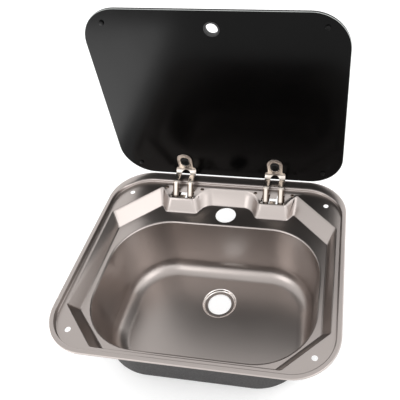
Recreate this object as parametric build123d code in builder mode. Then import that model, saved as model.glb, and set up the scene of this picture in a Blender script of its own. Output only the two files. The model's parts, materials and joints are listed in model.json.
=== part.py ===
"""Drop-in sink for a camper, with a black glass lid on two stamped hinges.
Millimetres. x runs along the front edge, y to the rear, z up; the worktop is the plane z = 0,
and the origin is the middle of the rim on that plane. The lid is drawn open."""
import os
from math import cos, radians, sin, sqrt

from build123d import *

os.makedirs("parts", exist_ok=True)

# ---- driving dimensions: the pressing ----
sheet = 0.8                     # stainless sheet of the sink
rim_width = 420.0
rim_depth = 370.0
rim_corner = 70.0
rear_end = rim_depth / 2          # rim's rear edge; hinge and tap are set out from it
rim_rise = 2.2                  # rim's top over the worktop
rim_edge_radius = 1.8           # rolled outer edge
rim_lip_radius = 1.2            # rim's inner edge
seal_inset = 2.2
seal_width = 3.9
side_band = 7.5                 # flat rim at the sides and the front
rear_band = 17.0                # flat rim behind the lid
pocket_inset = 8.0              # how much smaller the pocket's corner radius is than the rim's
ledge_depth = 5.8               # plane the lid's buffers land on, under the worktop
ledge_side = 8.0
ledge_front = 8.5
ledge_rear = 10.0
deck_depth = 28.0
side_lean = 12.5                # how far each wall slopes in from the ledge to the deck
front_lean = 6.5
rear_lean = 20.0
front_cut_leg = 61.5            # legs of the cut corners, on the ledge
rear_cut_leg = 72.5
front_cut_lean = 19.0           # their lean, measured as |x| + |y|
rear_cut_lean = 31.0
wall_corner_radius = 7.0
pocket_radius = 1.5
ledge_edge_radius = 2.2
deck_radius = 3.2
# hinge pedestals
hinge_in = 128.0                # from the rim's side to the middle of a hinge
pedestal_setback = 56.0
pedestal_half = 22.3
inner_splay = 0.55              # sideways growth for each mm to the rear
outer_splay = 0.7
pedestal_front_lean = 14.0
pedestal_side_lean = 12.0
pedestal_corner_radius = 6.0
inner_root_radius = 28.0
outer_root_radius = 4.0
# bowl
bowl_side_in = 37.0             # from the rim's edge to the bowl's mouth
bowl_front_in = 31.0
bowl_rear_in = 94.0
bowl_corner_radius = 90.0
bowl_side_lean = 11.0
bowl_front_lean = 12.0
bowl_depth = 139.5
bowl_rim_radius = 3.2
bowl_floor_radius = 27.0
drain_setback = 82.0            # from the bowl's rear edge
drain_ring_radius = 29.0
drain_hole_radius = 20.8
drain_drop = 4.0
tap_setback = 68.0
tap_hole_radius = 18.0
corner_hole_radius = 4.3
corner_hole_side_in = 34.8
corner_hole_front_in = 37.8
corner_hole_rear_in = 49.5

# ---- driving dimensions: the lid and its hinges ----
glass = 5.0
lid_side_in = 10.5              # from the rim's edge to the shut lid's edge
lid_front_in = 10.5
lid_rear_in = 32.0
lid_corner_inset = 12.0         # how much smaller the lid's corner radius is than the rim's
lid_top = 2.1                   # shut lid's top over the worktop
lid_travel = 86.9               # degrees from open to shut
pin_setback = 12.8
pin_z = -14.8
pin_radius = 2.5
pin_fit = 0.05                  # running clearance round the pin
finger_in = 29.0                # finger hole, from the lid's front edge
finger_radius = 9.2
grommet_radius = 12.0
leaf_sheet = 1.5
leaf_pad = 0.5                  # soft pad between leaf and glass
leaf_width = 36.5
leaf_gap = 16.5
tab_width = 27.5
tab_top = 50.0
tab_neck = 26.0
shoulder_up = 18.7
eye_up = 30.0
eye_radius = 8.0
eye_slot = 4.6                  # the eye is a slot that runs on above the bush
plain_fit = 0.1
shoulder_radius = 4.0           # inside, where the tab leaves the shoulders
shoulder_round = 5.0            # the shoulders' own corners
crank_level = 12.0              # open leaf's level run over the rim
lid_bend = 9.5                  # middle-of-sheet bend radii
elbow_setback = 27.0
elbow_bend = 8.0
arm_fall = 55.0                 # slope of the arms down to the slot
hook_bend = 4.0
roll_turn = 290.0
arch_top = 3.5                  # top of the arch, round the lid bend
slot_front_setback = 53.8
slot_step_setback = 40.0
slot_rear_setback = 31.0
slot_tongue = 6.3
slot_half = 20.0
slot_wide = 20.8
ear_sheet = 1.5
washer = 1.3
ear_radius = 5.0
ear_reach = 12.0                # from the pin forward to where the ear starts to rise
ear_corner = 2.4                # cut corner at the top of the web
lug_setback = 4.0               # the ear's top runs this far past the lug
screw_side = 33.0
screw_setback = 30.5
screw_radius = 1.5
screw_head = 3.2
screw_head_height = 1.9
screw_length = 9.0
screw_nut_flats = 5.5
screw_nut_height = 2.4
nut_overhang = 0.8              # pin's end past its nut
pin_head = 4.2
pin_head_height = 2.6
pin_nut_flats = 8.0
pin_nut_height = 4.0
web_setback = 53.0              # bracket's front web
web_foot = -21.8
lug_radius = 2.9
catch_half = 5.5                # tongue of the bracket seen in the slot
catch_length = 7.5
catch_drop = 0.4
grommet_wall = 1.6
grommet_lip = 1.0
glass_edge = 0.6
bush_recess = 0.3
clamp_radius = 3.0
clamp_head = 5.6
clamp_head_height = 3.0
clamp_seat = -1.9
clamp_socket = 4.0
gasket = 0.8
cap_radius = 12.5
cap_height = 3.2
cap_skin = 0.6
buffer_radius = 4.0
buffer_rear_side_in = 33.5      # from the lid's edges
buffer_rear_in = 23.0
buffer_front_side_in = 34.5
buffer_front_in = 22.5
buffer_gap = 0.1                # buffers stop this far over the ledge

# ---- sizes that follow ----
pocket_half = rim_width / 2 - side_band
pocket_front = -rim_depth / 2 + side_band
pocket_rear = rim_depth / 2 - rear_band
wall_half = pocket_half - ledge_side
wall_front = pocket_front + ledge_front
wall_rear = pocket_rear - ledge_rear
wall_drop = deck_depth - ledge_depth
pocket_corner = rim_corner - pocket_inset
front_cut = wall_half - wall_front - front_cut_leg      # |x| + |y| along the cut
rear_cut = wall_half + wall_rear - rear_cut_leg
hinge_x = rim_width / 2 - hinge_in
pedestal_front = rear_end - pedestal_setback
bowl_half = rim_width / 2 - bowl_side_in
bowl_front = bowl_front_in - rim_depth / 2
bowl_rear = rear_end - bowl_rear_in
drain_y = bowl_rear - drain_setback
tap_y = rear_end - tap_setback
corner_hole_x = rim_width / 2 - corner_hole_side_in
corner_hole_front = corner_hole_front_in - rim_depth / 2
corner_hole_rear = rear_end - corner_hole_rear_in
lid_width = rim_width - 2 * lid_side_in
lid_rear = rear_end - lid_rear_in
lid_front = lid_front_in - rim_depth / 2
lid_length = lid_rear - lid_front
lid_corner = rim_corner - lid_corner_inset
pin_y = rear_end - pin_setback
finger_up = lid_length - finger_in
elbow_y = rear_end - elbow_setback
slot_front = rear_end - slot_front_setback
slot_step = rear_end - slot_step_setback
slot_rear = rear_end - slot_rear_setback
tongue_reach = slot_rear - slot_step
screw_y = rear_end - screw_setback
web_y = rear_end - web_setback


def tilt(lean, drop, skin):
    """Sideways shift that moves a leaning wall by skin, square to itself."""
    return skin * sqrt(lean ** 2 + drop ** 2) / drop


def wall_outline(level, skin):
    """Eight-sided outline of the sloping walls at one level, moved out by skin."""
    up = (level + deck_depth) / wall_drop - 1
    side = wall_half + side_lean * up + tilt(side_lean, wall_drop, skin)
    front = -wall_front + front_lean * up + tilt(front_lean, wall_drop, skin)
    rear = wall_rear + rear_lean * up + tilt(rear_lean, wall_drop, skin)
    fore = front_cut + front_cut_lean * up + sqrt(2) * tilt(front_cut_lean / sqrt(2), wall_drop, skin)
    aft = rear_cut + rear_cut_lean * up + sqrt(2) * tilt(rear_cut_lean / sqrt(2), wall_drop, skin)
    with BuildSketch(Plane.XY.offset(level)) as outline:
        with BuildLine():
            Polyline(
                (side, side - fore),
                (side, aft - side),
                (aft - rear, rear),
                (rear - aft, rear),
                (-side, aft - side),
                (-side, side - fore),
                (front - fore, -front),
                (fore - front, -front),
                close=True,
            )
        make_face()
    return outline.sketch


def pedestal_outline(level, skin, side):
    """Four-sided outline of a hinge pedestal at one level, moved in by skin."""
    down = -(level + ledge_depth) / wall_drop
    front = pedestal_front - pedestal_front_lean * down + tilt(pedestal_front_lean, wall_drop, skin)
    rear = pocket_rear + deck_radius
    shift = pedestal_side_lean * down - tilt(pedestal_side_lean, wall_drop, skin)
    inner = pedestal_half + shift * sqrt(1 + inner_splay ** 2)
    outer = pedestal_half + shift * sqrt(1 + outer_splay ** 2)
    with BuildSketch(Plane.XY.offset(level)) as outline:
        with BuildLine():
            Polyline(
                (side * (hinge_x - inner - inner_splay * (front - pedestal_front)), front),
                (side * (hinge_x + outer + outer_splay * (front - pedestal_front)), front),
                (side * (hinge_x + outer + outer_splay * (rear - pedestal_front)), rear),
                (side * (hinge_x - inner - inner_splay * (rear - pedestal_front)), rear),
                close=True,
            )
        make_face()
    return outline.sketch


def bowl_outline(level, skin):
    """Rounded outline of the bowl at one level, moved out by skin."""
    drop = bowl_depth - deck_depth
    down = -(level + deck_depth) / drop
    side = bowl_half - bowl_side_lean * down + tilt(bowl_side_lean, drop, skin)
    front = -bowl_front - bowl_front_lean * down + tilt(bowl_front_lean, drop, skin)
    rear = bowl_rear - bowl_side_lean * down + tilt(bowl_side_lean, drop, skin)
    corner = bowl_corner_radius - bowl_side_lean * down + skin
    with BuildSketch(Plane.XY.offset(level)) as outline:
        with Locations((0, (rear - front) / 2)):
            RectangleRounded(2 * side, rear + front, corner)
    return outline.sketch


def upright(edge):
    """True for the slanting edges between two walls."""
    return abs(edge.tangent_at(0.5).Z) > 0.5


def inner_space(skin):
    """Everything above the sheet: skin 0 gives the wet face, skin = sheet the dry face."""
    with BuildPart() as walls:
        add(wall_outline(-deck_depth - skin, skin))
        add(wall_outline(-ledge_depth - skin, skin))
        loft(ruled=True)
        corners = walls.edges().filter_by(upright).sort_by(Axis.Y)[0:6]
        fillet(corners, wall_corner_radius + skin)
        for side in (-1, 1):
            with BuildPart(mode=Mode.PRIVATE) as pedestal:
                add(pedestal_outline(-deck_depth - skin - 1, skin, side))
                add(pedestal_outline(-ledge_depth - skin + 1, skin, side))
                loft(ruled=True)
                front_corners = pedestal.edges().filter_by(upright).sort_by(Axis.Y)[0:2]
                fillet(front_corners, pedestal_corner_radius - skin)
            add(pedestal.part, mode=Mode.SUBTRACT)
        inner_roots = [
            edge
            for edge in walls.edges().filter_by(upright)
            if edge.center().Y > pedestal_front + 0.9 * pedestal_corner_radius and abs(edge.center().X) < hinge_x
        ]
        fillet(inner_roots, inner_root_radius + skin)
        outer_roots = [
            edge
            for edge in walls.edges().filter_by(upright)
            if edge.center().Y > pedestal_front + 0.9 * pedestal_corner_radius
            and hinge_x < abs(edge.center().X) < (hinge_x + wall_half) / 2
        ]
        fillet(outer_roots, outer_root_radius + skin)
        fillet(walls.faces().sort_by(Axis.Z)[0].edges(), deck_radius + skin)
    with BuildPart() as space:
        with BuildSketch(Plane.XY.offset(-ledge_depth - skin)):
            with Locations((0, (pocket_front + pocket_rear) / 2)):
                RectangleRounded(
                    2 * (pocket_half + skin),
                    pocket_rear - pocket_front + 2 * skin,
                    pocket_corner + skin,
                )
        extrude(amount=ledge_depth + rim_rise + skin)
        fillet(space.faces().sort_by(Axis.Z)[0].edges(), pocket_radius + skin)
        add(walls.part)
        shelf = [
            edge
            for edge in space.edges()
            if abs(edge.bounding_box().min.Z + ledge_depth + skin) < 0.01
            and abs(edge.bounding_box().max.Z + ledge_depth + skin) < 0.01
            and abs(edge.center().X) < wall_half + 1
            and wall_front - 1 < edge.center().Y < wall_rear + 1
        ]
        fillet(shelf, ledge_edge_radius - skin)
        with BuildPart(mode=Mode.PRIVATE) as bowl:
            add(bowl_outline(-bowl_depth - skin, skin))
            add(bowl_outline(-deck_depth - skin, skin))
            loft(ruled=True)
            fillet(bowl.faces().sort_by(Axis.Z)[0].edges(), bowl_floor_radius + skin)
        add(bowl.part)
        mouth = [
            edge
            for edge in space.edges()
            if abs(edge.bounding_box().min.Z + deck_depth + skin) < 0.01
            and abs(edge.bounding_box().max.Z + deck_depth + skin) < 0.01
            and abs(edge.center().X) < bowl_half + 2 * sheet
            and bowl_front - 2 * sheet < edge.center().Y < bowl_rear + 2 * sheet
        ]
        fillet(mouth, bowl_rim_radius - skin)
        with BuildSketch(Plane.XY.offset(-bowl_depth - skin)):
            with Locations((0, drain_y)):
                Circle(drain_ring_radius + skin)
        extrude(amount=-drain_drop, taper=30)
    return space.part


# ---- sink pressing: rim, pocket, walls, deck, pedestals and bowl from one sheet ----
with BuildPart() as sink_pressing:
    with BuildSketch():
        RectangleRounded(rim_width, rim_depth, rim_corner)
    extrude(amount=rim_rise)
    fillet(sink_pressing.faces().sort_by(Axis.Z)[-1].edges(), rim_edge_radius)
    with BuildPart(mode=Mode.PRIVATE) as under_rim:
        with BuildSketch():
            RectangleRounded(rim_width - 2 * sheet, rim_depth - 2 * sheet, rim_corner - sheet)
        extrude(amount=rim_rise - sheet)
        fillet(under_rim.faces().sort_by(Axis.Z)[-1].edges(), rim_edge_radius - sheet)
    add(under_rim.part, mode=Mode.SUBTRACT)
    add(inner_space(sheet))
    add(inner_space(0), mode=Mode.SUBTRACT)
    lip = [
        edge
        for edge in sink_pressing.edges()
        if abs(edge.bounding_box().min.Z - rim_rise) < 0.01
        and abs(edge.center().X) < pocket_half + 0.5
        and pocket_front - 0.5 < edge.center().Y < pocket_rear + 0.5
    ]
    fillet(lip, rim_lip_radius)
    with BuildSketch(Plane.XY.offset(-bowl_depth - drain_drop)):
        with Locations((0, drain_y)):
            Circle(drain_hole_radius)
    extrude(amount=sheet, both=True, mode=Mode.SUBTRACT)
    with BuildSketch(Plane.XY.offset(-deck_depth)):
        with Locations((0, tap_y)):
            Circle(tap_hole_radius)
    extrude(amount=sheet * 1.5, both=True, mode=Mode.SUBTRACT)
    with BuildSketch(Plane.XY.offset(-ledge_depth)):
        for across in (-corner_hole_x, corner_hole_x):
            with Locations((across, corner_hole_front), (across, corner_hole_rear)):
                Circle(corner_hole_radius)
        for middle in (-hinge_x, hinge_x):
            with Locations((middle, (slot_front + slot_step) / 2)):
                RectangleRounded(2 * slot_wide, slot_step - slot_front, 1)
            with Locations((middle, (slot_front + slot_rear) / 2)):
                RectangleRounded(2 * slot_half, slot_rear - slot_front, 1)
            with Locations((middle, slot_rear)):
                Rectangle(2 * slot_tongue, 2 * tongue_reach, mode=Mode.SUBTRACT)
            with Locations((middle - screw_side, screw_y), (middle + screw_side, screw_y)):
                Circle(screw_radius + plain_fit)
    extrude(amount=sheet * 1.5, both=True, mode=Mode.SUBTRACT)

# ---- rim seal: foam strip the sink sits on ----
with BuildPart() as rim_seal:
    with BuildSketch():
        RectangleRounded(
            rim_width - 2 * seal_inset, rim_depth - 2 * seal_inset, rim_corner - seal_inset
        )
        RectangleRounded(
            rim_width - 2 * seal_inset - 2 * seal_width,
            rim_depth - 2 * seal_inset - 2 * seal_width,
            rim_corner - seal_inset - seal_width,
            mode=Mode.SUBTRACT,
        )
    extrude(amount=rim_rise - sheet)

# ---- the lid's own plane: x across, y up the open lid, z toward the bowl side ----
turn = radians(lid_travel)
back = lid_rear - pin_y
lift = lid_top - glass - pin_z
lid_plane = Plane(
    origin=(0, pin_y + back * cos(turn) + lift * sin(turn), pin_z - back * sin(turn) + lift * cos(turn)),
    x_dir=(1, 0, 0),
    z_dir=(0, -sin(turn), -cos(turn)),
)

# ---- glass lid ----
with BuildPart() as glass_lid:
    with BuildSketch(lid_plane):
        with Locations((0, lid_length / 2)):
            RectangleRounded(lid_width, lid_length, lid_corner)
    extrude(amount=-glass)
    chamfer(glass_lid.faces().sort_by(SortBy.AREA)[-2:].edges(), glass_edge)
    with BuildSketch(lid_plane):
        with Locations((0, finger_up)):
            Circle(finger_radius + grommet_wall + plain_fit)
        with Locations((-hinge_x, eye_up), (hinge_x, eye_up)):
            Circle(eye_radius + plain_fit)
    extrude(amount=-glass, mode=Mode.SUBTRACT)

# ---- finger grommet ----
with BuildPart() as finger_grommet:
    with BuildSketch(lid_plane.offset(-glass - grommet_lip)):
        with Locations((0, finger_up)):
            Circle(grommet_radius)
    extrude(amount=grommet_lip)
    with BuildSketch(lid_plane):
        with Locations((0, finger_up)):
            Circle(grommet_radius)
    extrude(amount=grommet_lip)
    with BuildSketch(lid_plane.offset(-glass)):
        with Locations((0, finger_up)):
            Circle(finger_radius + grommet_wall)
    extrude(amount=glass)
    rims = finger_grommet.edges().filter_by(GeomType.CIRCLE).sort_by(Axis.Y)
    fillet([rims[0], rims[-1]], 0.4 * grommet_lip)
    with BuildSketch(lid_plane.offset(-glass - grommet_lip)):
        with Locations((0, finger_up)):
            Circle(finger_radius)
    extrude(amount=glass + 2 * grommet_lip, mode=Mode.SUBTRACT)

# ---- lid buffers, one group: rubber buttons that land on the ledge ----
buffer_height = ledge_depth + lid_top - glass - buffer_gap
with BuildPart() as lid_buffers:
    with BuildSketch(lid_plane):
        for inset, up in (
            (buffer_rear_side_in, buffer_rear_in),
            (buffer_front_side_in, lid_length - buffer_front_in),
        ):
            with Locations((inset - lid_width / 2, up), (lid_width / 2 - inset, up)):
                Circle(buffer_radius)
    extrude(amount=buffer_height)
    tips = lid_buffers.edges().filter_by(GeomType.CIRCLE)
    fillet([edge for edge in tips if lid_plane.to_local_coords(edge.center()).Z > 1], 0.6)


def bent_strip(start, heading, moves, thick):
    """Side view of a strip of sheet: moves are (length, 0) or (bend radius, turn to the left)."""
    ends = []
    for shift in (thick / 2, -thick / 2):
        y, z = start
        angle = heading
        ends.append((y - shift * sin(radians(angle)), z + shift * cos(radians(angle))))
        for size, bend in moves:
            if bend == 0:
                first = (y - shift * sin(radians(angle)), z + shift * cos(radians(angle)))
                y += size * cos(radians(angle))
                z += size * sin(radians(angle))
                Line(first, (y - shift * sin(radians(angle)), z + shift * cos(radians(angle))))
            else:
                hand = 1 if bend > 0 else -1
                middle = (y - hand * size * sin(radians(angle)), z + hand * size * cos(radians(angle)))
                reach = size - hand * shift
                points = []
                for part in (0, 0.5, 1):
                    way = radians(angle + part * bend)
                    points.append((middle[0] + hand * reach * sin(way), middle[1] - hand * reach * cos(way)))
                ThreePointArc(*points)
                angle += bend
                y = middle[0] + hand * size * sin(radians(angle))
                z = middle[1] - hand * size * cos(radians(angle))
        ends.append((y - shift * sin(radians(angle)), z + shift * cos(radians(angle))))
    Line(ends[0], ends[2])
    Line(ends[1], ends[3])


# ---- hinge leaf: tab on the glass, shoulders, two arms rolled round the pin ----
run = leaf_pad + leaf_sheet / 2
roll = pin_radius + pin_fit + leaf_sheet / 2
bend_z = crank_level + lid_bend * (1 + cos(turn))
bend_up = (bend_z - lid_plane.origin.Z + run * cos(turn)) / sin(turn)
bend_y = lid_plane.origin.Y - bend_up * cos(turn) - run * sin(turn)
level_y = bend_y - lid_bend * sin(turn)
fall = radians(arm_fall)
fall_top = crank_level - elbow_bend * (1 - cos(fall))
fall_foot = pin_z - roll + hook_bend * (1 + cos(fall))
fall_length = (fall_top - fall_foot) / sin(fall)
hook_y = elbow_y - elbow_bend * sin(fall) - fall_length * cos(fall) + hook_bend * sin(fall)
tab_start = lid_plane.from_local_coords(Vector(0, tab_top, run))
with BuildPart() as hinge_leaf_right:
    with BuildSketch(Plane.YZ.offset(hinge_x - leaf_width / 2)):
        with BuildLine():
            bent_strip(
                (tab_start.Y, tab_start.Z),
                -lid_travel,
                [
                    (tab_top - bend_up, 0),
                    (lid_bend, lid_travel - 180),
                    (level_y - elbow_y, 0),
                    (elbow_bend, arm_fall),
                    (fall_length, 0),
                    (hook_bend, 180 - arm_fall),
                    (pin_y - hook_y, 0),
                    (roll, roll_turn),
                ],
                leaf_sheet,
            )
        make_face()
    extrude(amount=leaf_width)
    with BuildSketch(lid_plane.offset(-glass)) as tab_trim:
        with Locations((hinge_x, (tab_top + shoulder_up + 2 * glass) / 2)):
            Rectangle(leaf_width + glass, tab_top - shoulder_up + 2 * glass)
        with Locations((hinge_x, tab_top - tab_width / 2)):
            Circle(tab_width / 2, mode=Mode.SUBTRACT)
        with BuildLine():
            Polyline(
                (hinge_x - tab_width / 2, tab_top - tab_width / 2),
                (hinge_x + tab_width / 2, tab_top - tab_width / 2),
                (hinge_x + tab_neck / 2, shoulder_up + shoulder_radius),
                (hinge_x + tab_neck / 2, shoulder_up - leaf_sheet),
                (hinge_x - tab_neck / 2, shoulder_up - leaf_sheet),
                (hinge_x - tab_neck / 2, shoulder_up + shoulder_radius),
                close=True,
            )
        make_face(mode=Mode.SUBTRACT)
        for hand in (-1, 1):
            with Locations((hinge_x + hand * (leaf_width / 2 + leaf_sheet), shoulder_up + leaf_sheet)):
                Rectangle(2 * (shoulder_round + leaf_sheet), 2 * (shoulder_round + leaf_sheet))
            with Locations((hinge_x + hand * (leaf_width / 2 - shoulder_round), shoulder_up - shoulder_round)):
                Circle(shoulder_round, mode=Mode.SUBTRACT)
    extrude(amount=2 * glass, mode=Mode.SUBTRACT)
    arch_plane = Plane(
        origin=(hinge_x, level_y, crank_level + lid_bend),
        x_dir=(1, 0, 0),
        z_dir=(0, -cos(radians(45)), sin(radians(45))),
    )
    with BuildSketch(arch_plane.offset(-leaf_width)):
        with Locations((0, arch_top - leaf_gap / 2)):
            Circle(leaf_gap / 2)
        with Locations((0, arch_top - leaf_gap / 2 - 2 * leaf_width)):
            Rectangle(leaf_gap, 4 * leaf_width)
    extrude(amount=5 * leaf_width, mode=Mode.SUBTRACT)
    with BuildSketch(lid_plane.offset(-glass)):
        with Locations((hinge_x, eye_up), (hinge_x, eye_up + eye_slot)):
            Circle(eye_radius)
        with Locations((hinge_x, eye_up + eye_slot / 2)):
            Rectangle(2 * eye_radius, eye_slot)
    extrude(amount=2 * glass, mode=Mode.SUBTRACT)

# ---- leaf pad ----
with BuildPart() as leaf_pad_right:
    with BuildSketch(lid_plane):
        with Locations((hinge_x, (tab_top + shoulder_up) / 2)):
            RectangleRounded(tab_neck - 2, tab_top - shoulder_up - 3, tab_neck / 2 - 1.5)
        with Locations((hinge_x, eye_up)):
            Circle(eye_radius + plain_fit, mode=Mode.SUBTRACT)
    extrude(amount=leaf_pad)

# ---- leaf bush: lines the eye and the hole in the glass, with a seat for the screw ----
bush_face = leaf_pad + leaf_sheet - bush_recess
with BuildPart() as leaf_bush_right:
    with BuildSketch(lid_plane.offset(-glass)):
        with Locations((hinge_x, eye_up)):
            Circle(eye_radius - plain_fit)
    extrude(amount=glass + bush_face)
    fillet(leaf_bush_right.edges().sort_by(Axis.Y)[0], 0.4)
    with BuildSketch(lid_plane.offset(clamp_seat)):
        with Locations((hinge_x, eye_up)):
            Circle(clamp_head + plain_fit * 3)
    extrude(amount=glass, mode=Mode.SUBTRACT)
    with BuildSketch(lid_plane.offset(-glass)):
        with Locations((hinge_x, eye_up)):
            Circle(clamp_radius + plain_fit)
    extrude(amount=glass, mode=Mode.SUBTRACT)

# ---- leaf screw ----
with BuildPart() as leaf_screw_right:
    with BuildSketch(lid_plane.offset(clamp_seat)):
        with Locations((hinge_x, eye_up)):
            Circle(clamp_head)
    extrude(amount=clamp_head_height)
    fillet(leaf_screw_right.edges().sort_by(Axis.Y)[0], 0.6)
    with BuildSketch(lid_plane.offset(clamp_seat + clamp_head_height)):
        with Locations((hinge_x, eye_up)):
            RegularPolygon(clamp_socket / 2, 6, major_radius=False)
    extrude(amount=-0.6 * clamp_head_height, mode=Mode.SUBTRACT)
    with BuildSketch(lid_plane.offset(clamp_seat)):
        with Locations((hinge_x, eye_up)):
            Circle(clamp_radius)
    extrude(amount=-(glass + clamp_seat + gasket + cap_height - 2 * cap_skin))

# ---- cap gasket ----
with BuildPart() as cap_gasket_right:
    with BuildSketch(lid_plane.offset(-glass - gasket)):
        with Locations((hinge_x, eye_up)):
            Circle(cap_radius - 0.5)
            Circle(clamp_radius + plain_fit, mode=Mode.SUBTRACT)
    extrude(amount=gasket)

# ---- leaf cap: round nut on the lid's outer face ----
with BuildPart() as leaf_cap_right:
    with BuildSketch(lid_plane.offset(-glass - gasket)):
        with Locations((hinge_x, eye_up)):
            Circle(cap_radius)
    extrude(amount=-cap_height)
    fillet(leaf_cap_right.edges().sort_by(Axis.Y)[-1], 1.6)
    with BuildSketch(lid_plane.offset(-glass - gasket)):
        with Locations((hinge_x, eye_up)):
            Circle(clamp_radius + pin_fit)
    extrude(amount=-(cap_height - cap_skin), mode=Mode.SUBTRACT)

# ---- hinge bracket: cradle under the pedestal, ears carry the pin ----
plate_top = -ledge_depth - sheet
ear_inner = leaf_width / 2 + washer + pin_fit
ear_outer = ear_inner + ear_sheet
with BuildPart() as hinge_bracket_right:
    for near in (hinge_x - ear_outer, hinge_x + ear_inner):
        with BuildSketch(Plane.YZ.offset(near)):
            with BuildLine():
                Polyline(
                    (web_y, plate_top - ear_corner),
                    (web_y + ear_corner, plate_top),
                    (screw_y + lug_radius + lug_setback, plate_top),
                    (pin_y, pin_z + ear_radius),
                    (pin_y, pin_z - ear_radius),
                    (pin_y - ear_reach, web_foot),
                    (web_y, web_foot),
                    close=True,
                )
            make_face()
            with Locations((pin_y, pin_z)):
                Circle(ear_radius)
        extrude(amount=ear_sheet)
    with BuildSketch(Plane.XY.offset(web_foot)):
        with Locations((hinge_x, web_y + ear_sheet / 2)):
            Rectangle(2 * ear_outer, ear_sheet)
    extrude(amount=plate_top - ear_corner - web_foot)
    with BuildSketch(Plane.XY.offset(plate_top - ear_corner)):
        with Locations((hinge_x, web_y + ear_sheet / 2)):
            Rectangle(2 * catch_half, ear_sheet)
    extrude(amount=ear_corner - catch_drop)
    with BuildSketch(Plane.XY.offset(plate_top - catch_drop)):
        with Locations((hinge_x, web_y + catch_length / 2)):
            Rectangle(2 * catch_half, catch_length)
    extrude(amount=-ear_sheet)
    with BuildSketch(Plane.XY.offset(plate_top)):
        for hand in (-1, 1):
            with Locations((hinge_x + hand * (ear_inner + screw_side) / 2, screw_y)):
                Rectangle(screw_side - ear_inner, 2 * lug_radius)
            with Locations((hinge_x + hand * screw_side, screw_y)):
                Circle(lug_radius)
    extrude(amount=-ear_sheet)
    with BuildSketch(Plane.XY.offset(plate_top)):
        with Locations((hinge_x - screw_side, screw_y), (hinge_x + screw_side, screw_y)):
            Circle(screw_radius + plain_fit)
    extrude(amount=-ear_sheet, mode=Mode.SUBTRACT)
    with BuildSketch(Plane.YZ.offset(hinge_x - 2 * ear_outer)):
        with Locations((pin_y, pin_z)):
            Circle(pin_radius + pin_fit)
    extrude(amount=4 * ear_outer, mode=Mode.SUBTRACT)

# ---- hinge pin ----
with BuildPart() as hinge_pin_right:
    with BuildSketch(Plane.YZ.offset(hinge_x - ear_outer - pin_nut_height - nut_overhang)):
        with Locations((pin_y, pin_z)):
            Circle(pin_radius)
    extrude(amount=2 * ear_outer + pin_nut_height + nut_overhang)
    with BuildSketch(Plane.YZ.offset(hinge_x + ear_outer)):
        with Locations((pin_y, pin_z)):
            Circle(pin_head)
    extrude(amount=pin_head_height)
    fillet(hinge_pin_right.edges().sort_by(Axis.X)[-1], 0.8)
    chamfer(hinge_pin_right.edges().sort_by(Axis.X)[0], 0.4)

# ---- pin nut ----
with BuildPart() as pin_nut_right:
    with BuildSketch(Plane.YZ.offset(hinge_x - ear_outer - pin_nut_height)):
        with Locations((pin_y, pin_z)):
            RegularPolygon(pin_nut_flats / 2, 6, major_radius=False)
            Circle(pin_radius + pin_fit, mode=Mode.SUBTRACT)
    extrude(amount=pin_nut_height)

# ---- pin spacer ----
with BuildPart() as pin_spacer_right:
    with BuildSketch(Plane.YZ.offset(hinge_x - leaf_gap / 2 + pin_fit)):
        with Locations((pin_y, pin_z)):
            Circle(roll + leaf_sheet / 2)
            Circle(pin_radius + pin_fit, mode=Mode.SUBTRACT)
    extrude(amount=leaf_gap - 2 * pin_fit)

# ---- pin washers, one group: two friction washers on each pin ----
with BuildPart() as pin_washers_right:
    for near in (hinge_x - ear_inner, hinge_x + ear_inner - washer):
        with BuildSketch(Plane.YZ.offset(near)):
            with Locations((pin_y, pin_z)):
                Circle(ear_radius - 0.4)
                Circle(pin_radius + pin_fit, mode=Mode.SUBTRACT)
        extrude(amount=washer)

# ---- hinge screws, one group: cross-recess screws through the ledge into the brackets ----
screw_spots = [
    (side * hinge_x + hand * screw_side, screw_y) for side in (-1, 1) for hand in (-1, 1)
]
with BuildPart() as hinge_screws:
    with BuildSketch(Plane.XY.offset(-ledge_depth)):
        with Locations(*screw_spots):
            Circle(screw_head)
    extrude(amount=screw_head_height)
    fillet(hinge_screws.edges().group_by(Axis.Z)[-1], 0.8)
    with BuildSketch(Plane.XY.offset(-ledge_depth + screw_head_height)):
        with Locations(*screw_spots):
            Rectangle(1.3 * screw_head, 0.7)
            Rectangle(0.7, 1.3 * screw_head)
    extrude(amount=-0.6 * screw_head_height, mode=Mode.SUBTRACT)
    with BuildSketch(Plane.XY.offset(-ledge_depth)):
        with Locations(*screw_spots):
            Circle(screw_radius)
    extrude(amount=-screw_length)

# ---- hinge nuts, one group ----
with BuildPart() as hinge_nuts:
    with BuildSketch(Plane.XY.offset(plate_top - ear_sheet)):
        with Locations(*screw_spots):
            RegularPolygon(screw_nut_flats / 2, 6, major_radius=False)
            Circle(screw_radius + pin_fit, mode=Mode.SUBTRACT)
    extrude(amount=-screw_nut_height)

# ---- write the parts ----
singles = {
    "sink_pressing": sink_pressing,
    "rim_seal": rim_seal,
    "glass_lid": glass_lid,
    "finger_grommet": finger_grommet,
    "lid_buffers": lid_buffers,
    "hinge_screws": hinge_screws,
    "hinge_nuts": hinge_nuts,
}
for name, made in singles.items():
    made.part.label = name
    export_step(made.part, f"parts/{name}.step")

pairs = {
    "hinge_leaf": hinge_leaf_right,
    "leaf_pad": leaf_pad_right,
    "leaf_bush": leaf_bush_right,
    "leaf_screw": leaf_screw_right,
    "cap_gasket": cap_gasket_right,
    "leaf_cap": leaf_cap_right,
    "hinge_bracket": hinge_bracket_right,
    "hinge_pin": hinge_pin_right,
    "pin_nut": pin_nut_right,
    "pin_spacer": pin_spacer_right,
    "pin_washers": pin_washers_right,
}
for name, made in pairs.items():
    made.part.label = f"{name}_right"
    export_step(made.part, f"parts/{name}_right.step")
    with BuildPart() as other:
        mirror(made.part, about=Plane.YZ)
    other.part.label = f"{name}_left"
    export_step(other.part, f"parts/{name}_left.step")
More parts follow.
